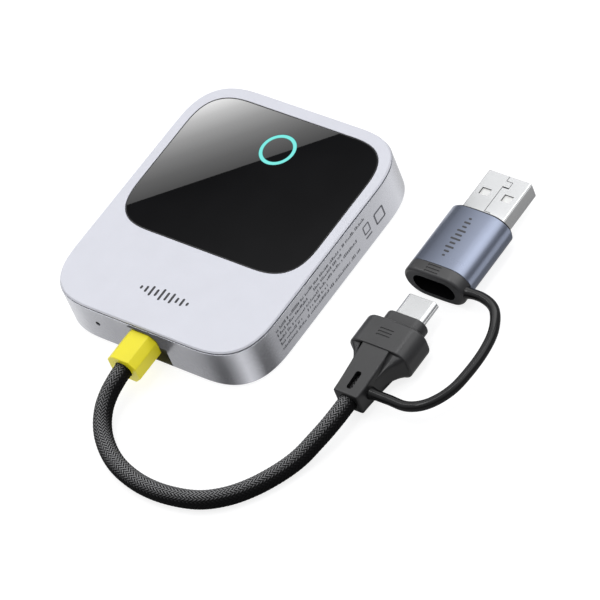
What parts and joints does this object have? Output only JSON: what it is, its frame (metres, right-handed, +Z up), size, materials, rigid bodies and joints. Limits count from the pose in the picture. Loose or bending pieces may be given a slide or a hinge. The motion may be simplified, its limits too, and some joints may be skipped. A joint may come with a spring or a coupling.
{
  "type": "bluetooth audio receiver",
  "caption": "Flat rounded wireless receiver puck with a black window and glowing ring, a braided pigtail ending in a USB-C plug, and a tethered USB-C to USB-A adapter.",
  "frame": {"origin": "centre of the puck underside, on the surface it stands on", "axes": "+Z up; +X along the front wall from the pinhole side to the printed side; the cable leaves toward -Y; the plug and the adapter point toward +Y"},
  "size_m": [0.106, 0.1074, 0.012],
  "materials": {
    "satin_silver": "satin",
    "window_black": "glossy",
    "glow_ring": "translucent",
    "wall_metal": "satin",
    "pad_rubber": "matte",
    "tape_grey": "matte",
    "clear_guide": "clear",
    "led_body": "glossy",
    "screw_steel": "satin",
    "board_green": "solder mask",
    "chip_black": "matte",
    "pad_blue": "matte",
    "spreader": "satin",
    "tin_shield": "satin",
    "ferrite": "matte",
    "ceramic_tan": "matte",
    "nylon_white": "matte",
    "wire_red": "glossy",
    "copper": "satin",
    "boot_yellow": "semi-gloss",
    "inner_grey": "matte",
    "braid": "woven",
    "dark_grey": "satin",
    "plug_steel": "bright",
    "gold_contact": "bright",
    "strap_rubber": "satin",
    "blue_grey": "anodised"
  },
  "bodies": {
    "receiver": {"top_cover": "satin_silver", "window_panel": "window_black", "window_adhesive": "tape_grey", "light_ring": "glow_ring", "light_guide": "clear_guide", "status_leds": "led_body", "side_frame": "wall_metal", "bottom_cover": "satin_silver", "base_pad": "pad_rubber", "cover_screws": "screw_steel", "main_board": "board_green", "processor_chip": "chip_black", "memory_chip": "chip_black", "thermal_pad": "pad_blue", "heat_spreader": "spreader", "shield_can": "tin_shield", "wireless_chip": "chip_black", "crystal": "tin_shield", "power_inductors": "ferrite", "capacitors": "ceramic_tan", "reset_switch": "chip_black", "wire_header": "nylon_white", "internal_wires": "wire_red", "antenna_strips": "copper", "antenna_leads": "chip_black", "cable_boot": "boot_yellow", "boot_clamp": "inner_grey", "pigtail_cable": "braid", "plug_neck": "dark_grey", "cable_crimp": "screw_steel", "plug_housing": "dark_grey", "plug_collar": "dark_grey", "usb_c_shell": "plug_steel", "usb_c_insulator": "chip_black", "usb_c_contacts": "gold_contact", "plug_board": "board_green", "tether_strap": "strap_rubber"},
    "reset_button": {"reset_plunger": "nylon_white"},
    "adapter": {"adapter_end_cap": "dark_grey", "adapter_sleeve": "blue_grey", "adapter_back_plate": "dark_grey", "socket_shell": "plug_steel", "socket_tongue": "chip_black", "adapter_board": "board_green", "usb_a_shell": "plug_steel", "usb_a_insulator": "nylon_white", "usb_a_contacts": "gold_contact"}
  },
  "joints": [
    {"name": "adapter_slide", "type": "slide", "parent": "receiver", "child": "adapter", "axis": [0, -1, 0], "range_m": [0, 0.0138], "deforming": ["tether_strap"]},
    {"name": "reset_press", "type": "slide", "parent": "receiver", "child": "reset_button", "axis": [0, 1, 0], "range_m": [0, 0.00025], "stiffness_N_per_m": 400}
  ]
}
